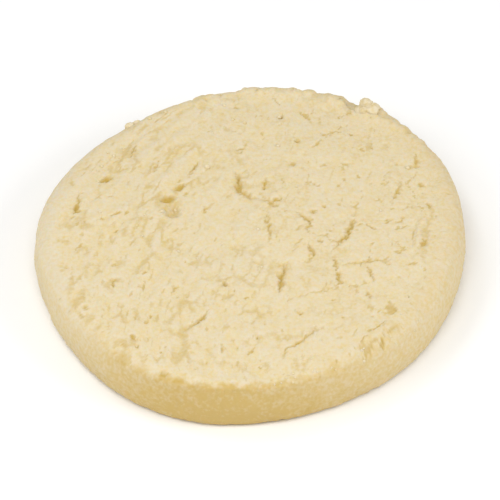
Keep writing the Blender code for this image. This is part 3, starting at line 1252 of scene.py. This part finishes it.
@dataclass
class LooseCrumbs:
    """Crumbs that cling to the top, the rim and the wall, as one joined mesh.

    Those in placed are given one by one: each is (east, north, size) in millimetres.
    """

    drifts: tuple[CrumbDrift, ...] = (
        CrumbDrift(95.0, 75.0, 0.8 * MM, 4.0 * MM, 14, 0.2 * MM, 0.42 * MM),
        CrumbDrift(200.0, 180.0, 2.0 * MM, 14.0 * MM, 14, 0.18 * MM, 0.3 * MM),
        CrumbDrift(302.0, 26.0, 0.2 * MM, 0.7 * MM, 30, 0.12 * MM, 0.22 * MM),
    )
    placed: tuple[tuple[float, float, float], ...] = (
        (-12.2, 4.0, 0.4),
        (-17.0, 22.4, 0.75),
        (-16.0, 23.0, 0.6),
        (-25.9, -15.6, 0.7),
    )
    nub: Nub = field(default_factory=Nub)
    proud: float = 0.15
    low: float = 0.45
    width_range: Pair = (0.7, 0.95)
    height_range: Pair = (0.6, 0.85)
    lump_height: float = 0.3
    lump_scale: float = 1.3
    farthest_shift: float = 50.0
    crumb_fineness: int = 3
    nub_fineness: int = 4
    seed: int = 5
    name: str = "loose_crumbs"

    def build(self, round_skin: bpy.types.Object, form: SliceForm) -> bpy.types.Object:
        """Drops crumbs on the biscuit.

        Args:
            round_skin: The biscuit that they cling to.
            form: The biscuit's smooth form.

        Returns:
            The crumbs as one object.
        """
        chance = np.random.default_rng(self.seed)
        data = round_skin.data
        tree = BVHTree.FromPolygons(
            [corner.co for corner in data.vertices], [face.vertices for face in data.polygons]
        )
        shape = bmesh.new()
        for drift in self.drifts:
            self._scatter(shape, tree, form, drift, chance)
        for east, north, size in self.placed:
            place = Vector((east, north, 0)) * MM
            hit = self._drop(tree, math.atan2(north, east), place.length, form.thickness)
            if hit is not None:
                self._add_crumb(shape, *hit, size * MM, self.crumb_fineness, chance)
        self._add_nub(shape, tree, form, chance)
        crumbs = add_object(self.name, shape)
        count = len(crumbs.data.vertices)
        for name, value in (("gold_and_shade", 0.0), ("hollow_shade", 0.0), ("low", self.low)):
            store_number(crumbs.data, name, np.full(count, value))
        crumbs.data.shade_smooth()
        return crumbs

    def _scatter(
        self,
        shape: bmesh.types.BMesh,
        tree: BVHTree,
        form: SliceForm,
        drift: CrumbDrift,
        chance: np.random.Generator,
    ) -> None:
        """Drops one drift of crumbs.

        Args:
            shape: The mesh that they are added to.
            tree: The skin that they land on.
            form: The biscuit's smooth form.
            drift: Where they lie, and their number and sizes.
            chance: What their places are drawn from.
        """
        made = 0
        while made < drift.count:
            bearing = math.radians(drift.bearing + drift.spread * chance.uniform(-1, 1))
            reach = form.radius_at(bearing) - drift.inward - chance.exponential(drift.depth)
            hit = self._drop(tree, bearing, reach, form.thickness)
            if hit is None:
                continue
            place, normal = hit
            size = drift.smallest + (drift.largest - drift.smallest) * chance.random() ** 2
            centre = place + normal * size * self.proud
            self._add_crumb(shape, centre, normal, size, self.crumb_fineness, chance)
            made += 1

    def _drop(
        self, tree: BVHTree, bearing: float, reach: float, thickness: float
    ) -> tuple[Vector, Vector] | None:
        """Where a crumb dropped at a bearing and reach lands, and which way the dough faces."""
        above = Vector((reach * math.cos(bearing), reach * math.sin(bearing), 2 * thickness))
        place, normal, _, _ = tree.ray_cast(above, Vector((0, 0, -1)))
        return None if place is None or reach < 0 else (place, normal)

    def _add_nub(
        self, shape: bmesh.types.BMesh, tree: BVHTree, form: SliceForm, chance: np.random.Generator
    ) -> None:
        """Adds the clump of lumps that was dragged up onto the rim."""
        bearing = math.radians(self.nub.bearing)
        hit = self._drop(tree, bearing, form.radius_at(bearing) - self.nub.inward, form.thickness)
        if hit is None:
            LOG.warning("the nub found no rim to stand on")
            return
        up = Vector((0, 0, 1))
        for east, north, above, size in self.nub.lumps:
            centre = hit[0] + Vector((east, north, above)) * MM + up * self.nub.rise
            self._add_crumb(shape, centre, up, size * MM, self.nub_fineness, chance)

    def _add_crumb(
        self,
        shape: bmesh.types.BMesh,
        centre: Vector,
        normal: Vector,
        size: float,
        fineness: int,
        chance: np.random.Generator,
    ) -> None:
        """Adds one uneven crumb.

        Args:
            shape: The mesh that it is added to.
            centre: Its middle.
            normal: The way the dough under it faces.
            size: Its usual radius.
            fineness: How many times its faces are divided.
            chance: What its shape is drawn from.
        """
        turned = Matrix.Rotation(chance.uniform(0, math.tau), 4, "Z")
        width, height = chance.uniform(*self.width_range), chance.uniform(*self.height_range)
        flat = Matrix.Diagonal((1.0, width, height, 1.0))
        stand = normal.to_track_quat("Z", "Y").to_matrix().to_4x4()
        made = bmesh.ops.create_icosphere(shape, subdivisions=fineness, radius=1.0)
        shift = Vector(chance.uniform(-self.farthest_shift, self.farthest_shift, 3))
        for corner in made["verts"]:
            lump = noise.fractal(corner.co * self.lump_scale + shift, 1.0, 2.0, fineness)
            corner.co *= size * (1.0 + self.lump_height * lump)
        matrix = Matrix.Translation(centre) @ stand @ turned @ flat
        bmesh.ops.transform(shape, matrix=matrix, verts=made["verts"])


class NodeValue:
    """One number that a node gives, so that shader sums are written as sums."""

    def __init__(self, bench: "NodeBench", socket: bpy.types.NodeSocket) -> None:
        """Keeps the bench that adds nodes and the socket that gives the number."""
        self._bench = bench
        self.socket = socket

    def _join(self, operation: str, first: "Term", second: "Term") -> "NodeValue":
        """Adds the Math node that joins two terms."""
        made = self._bench.node(
            "ShaderNodeMath", {"operation": operation}, {0: first, 1: second}
        )
        return NodeValue(self._bench, made.outputs[0])

    def __add__(self, other: "Term") -> "NodeValue":
        """self + other."""
        return self._join("ADD", self, other)

    def __radd__(self, other: "Term") -> "NodeValue":
        """other + self."""
        return self._join("ADD", other, self)

    def __sub__(self, other: "Term") -> "NodeValue":
        """self - other."""
        return self._join("SUBTRACT", self, other)

    def __rsub__(self, other: "Term") -> "NodeValue":
        """other - self."""
        return self._join("SUBTRACT", other, self)

    def __mul__(self, other: "Term") -> "NodeValue":
        """self * other."""
        return self._join("MULTIPLY", self, other)

    def __rmul__(self, other: "Term") -> "NodeValue":
        """other * self."""
        return self._join("MULTIPLY", other, self)


Term = NodeValue | bpy.types.NodeSocket | float


class NodeBench:
    """Lays out the nodes of one material."""

    def __init__(self, name: str) -> None:
        """Starts an empty material of that name."""
        self.material = bpy.data.materials.new(name)
        self.material.use_nodes = True
        self.tree = self.material.node_tree
        self.tree.nodes.clear()

    def node(
        self,
        kind: str,
        settings: Mapping[str, object] | None = None,
        inputs: Mapping[int | str, "Term | Sequence[float]"] | None = None,
    ) -> bpy.types.Node:
        """Adds one node.

        Args:
            kind: The node's type.
            settings: Its properties, set first; "stops" are a ramp's places and colours.
            inputs: What its sockets hold or are linked to.

        Returns:
            The new node.
        """
        made = self.tree.nodes.new(kind)
        for name, value in (settings or {}).items():
            if name == "stops":
                self._set_stops(made.color_ramp, value)
            else:
                setattr(made, name, value)
        for key, value in (inputs or {}).items():
            if isinstance(value, NodeValue):
                self.tree.links.new(value.socket, made.inputs[key])
            elif isinstance(value, bpy.types.NodeSocket):
                self.tree.links.new(value, made.inputs[key])
            else:
                made.inputs[key].default_value = value
        return made

    def _set_stops(self, ramp: bpy.types.ColorRamp, stops: Sequence[Pair]) -> None:
        """Gives a ramp its stops, each a place and a grey level."""
        while len(ramp.elements) > 1:
            ramp.elements.remove(ramp.elements[-1])
        for index, (place, level) in enumerate(stops):
            stop = ramp.elements[0] if index == 0 else ramp.elements.new(place)
            stop.position = place
            stop.color = (level, level, level, 1.0)

    def noise(self, gap: float, detail: float, roughness: float = 0.5) -> NodeValue:
        """Smooth noise from 0 to 1 whose hills lie a gap apart, in metres."""
        place = self.node("ShaderNodeTexCoord").outputs["Object"]
        made = self.node(
            "ShaderNodeTexNoise",
            {"noise_dimensions": "3D"},
            {"Vector": place, "Scale": 1 / gap, "Detail": detail, "Roughness": roughness},
        )
        return NodeValue(self, made.outputs["Fac"])

    def cells(self, gap: float) -> NodeValue:
        """The distance to the nearest of scattered grains a gap apart, in gaps."""
        place = self.node("ShaderNodeTexCoord").outputs["Object"]
        made = self.node(
            "ShaderNodeTexVoronoi", {"feature": "F1"}, {"Vector": place, "Scale": 1 / gap}
        )
        return NodeValue(self, made.outputs["Distance"])

    def ramp(self, value: NodeValue, limits: Pair) -> NodeValue:
        """Stretches a number, so that it is 0 at the first limit and 1 at the second."""
        stops = tuple(zip(limits, (0.0, 1.0)))
        made = self.node("ShaderNodeValToRGB", {"stops": stops}, {"Fac": value})
        return NodeValue(self, made.outputs["Color"])

    def spots(self, gap: float, limits: Pair) -> NodeValue:
        """Soft spots a gap apart in metres, from 0 between them to 1 on them."""
        return self.ramp(self.noise(gap, 2.0), limits)

    def stored(self, name: str) -> NodeValue:
        """The number that the mesh stores under a name."""
        made = self.node("ShaderNodeAttribute", {"attribute_name": name})
        return NodeValue(self, made.outputs["Fac"])

    def blend(
        self, share: Term, first: Term | Sequence[float], second: Term | Sequence[float]
    ) -> bpy.types.NodeSocket:
        """Mixes two colours by a share from 0 to 1."""
        made = self.node(
            "ShaderNodeMix", {"data_type": "RGBA"}, {0: share, 6: first, 7: second}
        )
        return made.outputs[2]

    def close(self, shader: bpy.types.Node) -> bpy.types.Material:
        """Ends the material in its shader."""
        self.node("ShaderNodeOutputMaterial", {}, {"Surface": shader.outputs[0]})
        return self.material


@dataclass(frozen=True)
class BakedDough:
    """Pale baked dough: matt, finely sandy, more golden on the wall, partly baked and partly painted
    shade, and painted shade in its hollows and low places.

    Every gap is the distance between the spots of a noise, every range is where it is 0 and where
    it is 1 after it is stretched, and every share is how much of it is mixed in.
    """

    name: str = "baked_dough"
    cream: Colour = (0.704, 0.622, 0.465)
    buttery: Colour = (0.695, 0.55, 0.26)
    # The wall's colour, partly baked and partly painted shade.
    golden: Colour = (0.595, 0.425, 0.15)
    # The painted shade in pits, cracks, tears, seams and pores.
    hollow_shade: Colour = (0.52, 0.35, 0.07)

    # How buttery the dough is.
    patch_gap: float = 7.0 * MM
    patch_range: Pair = (0.3, 0.7)
    patch_share: float = 0.1
    mottle_gap: float = 1.1 * MM
    mottle_range: Pair = (0.34, 0.66)
    mottle_share: float = 0.19
    speck_gap: float = 0.5 * MM
    speck_range: Pair = (0.38, 0.66)
    speck_share: float = 0.5
    # Painted shade: the low places among the lumps are more buttery.
    low_shade_share: float = 0.2

    # How the golden skin and the painted shade in the floors of the hollows are broken up.
    even_gold: float = 0.7
    mottled_gold: float = 0.3
    specked_gold: float = 0.35
    fleck_gap: float = 0.45 * MM
    fleck_share: float = 0.5
    hollow_shade_range: Pair = (0.1, 1.0)
    hollow_shade_share: float = 0.95

    # The sheen, the glow under the skin and the sandy grain.
    roughness: float = 0.72
    speck_roughness: float = 0.12
    specular: float = 0.35
    subsurface: float = 0.2
    subsurface_reach: float = 0.7 * MM
    subsurface_spread: Colour = (1.0, 0.55, 0.25)
    grain_gap: float = 0.42 * MM
    grain_detail: float = 3.0
    grain_roughness: float = 0.62
    grain_relief: float = 0.05 * MM
    sand_gap: float = 0.3 * MM
    sand_share: float = 0.35

    def material(self) -> bpy.types.Material:
        """Builds the material's nodes."""
        bench = NodeBench(self.name)
        speck = bench.spots(self.speck_gap, self.speck_range)
        shader = bench.node(
            "ShaderNodeBsdfPrincipled",
            {"subsurface_method": "RANDOM_WALK"},
            {
                "Base Color": self._colour(bench, speck),
                "Roughness": self.roughness + self.speck_roughness * speck,
                "Normal": self._grain(bench),
                "Subsurface Weight": self.subsurface,
                "Subsurface Radius": self.subsurface_spread,
                "Subsurface Scale": self.subsurface_reach,
                "Specular IOR Level": self.specular,
            },
        )
        return bench.close(shader)

    def _colour(self, bench: NodeBench, speck: NodeValue) -> bpy.types.NodeSocket:
        """The dough's colour, from cream over butter and golden skin to the painted shade in its hollows.
        """
        patch = bench.spots(self.patch_gap, self.patch_range)
        mottle = bench.spots(self.mottle_gap, self.mottle_range)
        butter = patch * self.patch_share + mottle * self.mottle_share
        # The low places get painted shade as butter.
        butter = butter + speck * self.speck_share + bench.stored("low") * self.low_shade_share
        face = bench.blend(butter, (*self.cream, 1), (*self.buttery, 1))
        broken = self.even_gold + self.mottled_gold * mottle + self.specked_gold * speck
        skin = bench.blend(bench.stored("gold_and_shade") * broken, face, (*self.golden, 1))
        fleck = bench.noise(self.fleck_gap, 2.0) - 0.5
        # Painted shade in the pits, cracks, tears, seams and pores, broken up by flecks.
        torn = bench.ramp(bench.stored("hollow_shade") + self.fleck_share * fleck, self.hollow_shade_range)
        return bench.blend(torn * self.hollow_shade_share, skin, (*self.hollow_shade, 1))

    def _grain(self, bench: NodeBench) -> bpy.types.NodeSocket:
        """The sandy grain, as a bumped normal."""
        grain = bench.noise(self.grain_gap, self.grain_detail, self.grain_roughness)
        height = grain + bench.cells(self.sand_gap) * self.sand_share
        bump = bench.node(
            "ShaderNodeBump", {}, {"Height": height, "Strength": 1.0, "Distance": self.grain_relief}
        )
        return bump.outputs["Normal"]


@dataclass(frozen=True)
class PaleFloor:
    """The plain floor that the biscuit lies on."""

    side: float = 3.0
    below: float = 0.05 * MM
    colour: Colour = (0.95, 0.95, 0.945)
    roughness: float = 0.9
    specular: float = 0.1

    def build(self) -> None:
        """Makes the floor just under the base."""
        shape = bmesh.new()
        bmesh.ops.create_grid(shape, x_segments=1, y_segments=1, size=self.side / 2)
        floor = add_object("floor", shape)
        floor.location.z = -self.below
        bench = NodeBench("pale_floor")
        shader = bench.node(
            "ShaderNodeBsdfPrincipled",
            {},
            {
                "Base Color": (*self.colour, 1),
                "Roughness": self.roughness,
                "Specular IOR Level": self.specular,
            },
        )
        floor.data.materials.append(bench.close(shader))


@dataclass(frozen=True)
class SoftBox:
    """One large soft lamp, aimed at the biscuit."""

    name: str
    bearing: float
    elevation: float
    distance: float
    side: float
    watts: float

    def build(self) -> None:
        """Makes the lamp."""
        light = bpy.data.lights.new(self.name, "AREA")
        light.shape = "DISK"
        light.size = self.side
        light.energy = self.watts
        lamp = bpy.data.objects.new(self.name, light)
        aim(lamp, Vector(), direction(self.bearing, self.elevation), self.distance)


@dataclass(frozen=True)
class Studio:
    """Plain soft light and the camera, which looks from the near side."""

    camera_bearing: float = -90.0
    camera_elevation: float = 44.4
    camera_distance: float = 0.8
    camera_nearest: float = 0.01
    lens: float = 416.0
    room_colour: Colour = (1.0, 0.995, 0.985)
    room_strength: float = 0.47
    lamps: tuple[SoftBox, ...] = (
        SoftBox("key_lamp", 146.0, 56.0, 0.7, 0.3, 0.7),
        SoftBox("left_lamp", 205.0, 38.0, 0.5, 0.3, 0.6),
        SoftBox("right_lamp", 342.0, 32.0, 0.55, 0.3, 1.05),
        SoftBox("front_lamp", 262.0, 62.0, 0.34, 0.2, 0.38),
    )

    def build(self, low: Vector, high: Vector) -> None:
        """Sets the light, the view and the camera round the biscuit.

        Args:
            low: The solid's lowest corner.
            high: The solid's highest corner.
        """
        PaleFloor().build()
        for lamp in self.lamps:
            lamp.build()
        self._light_room()
        self._place_camera((low + high) / 2)
        bpy.context.scene.view_settings.view_transform = "Standard"
        bpy.context.scene.view_settings.look = "None"

    def _light_room(self) -> None:
        """Fills the room with even pale light."""
        world = bpy.data.worlds.new("room")
        world.use_nodes = True
        back = world.node_tree.nodes["Background"]
        back.inputs["Color"].default_value = (*self.room_colour, 1)
        back.inputs["Strength"].default_value = self.room_strength
        bpy.context.scene.world = world

    def _place_camera(self, centre: Vector) -> None:
        """Looks down on the biscuit from its near side."""
        data = bpy.data.cameras.new("camera")
        data.lens = self.lens
        data.clip_start = self.camera_nearest
        camera = bpy.data.objects.new("camera", data)
        away = direction(self.camera_bearing, self.camera_elevation)
        aim(camera, centre, away, self.camera_distance)
        bpy.context.scene.camera = camera


def main() -> None:
    """Builds the biscuit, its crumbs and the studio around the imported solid."""
    logging.basicConfig(level=logging.INFO, format="%(name)s: %(message)s")
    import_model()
    low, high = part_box("biscuit")
    Studio().build(low, high)

    maker = ShortbreadRound()
    biscuit = maker.build(low, high)
    biscuit.data.materials.append(BakedDough().material())
    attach(biscuit, "root")
    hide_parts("biscuit")
    LOG.info("%s: %d faces", biscuit.name, len(biscuit.data.polygons))

    crumbs = LooseCrumbs().build(biscuit, maker.form)
    dry = BakedDough(name="crumb_dough", cream=(0.743, 0.664, 0.504), subsurface=0.0)
    crumbs.data.materials.append(dry.material())
    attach(crumbs, "root")
    LOG.info("%s: %d faces", crumbs.name, len(crumbs.data.polygons))


if __name__ == "__main__":
    main()
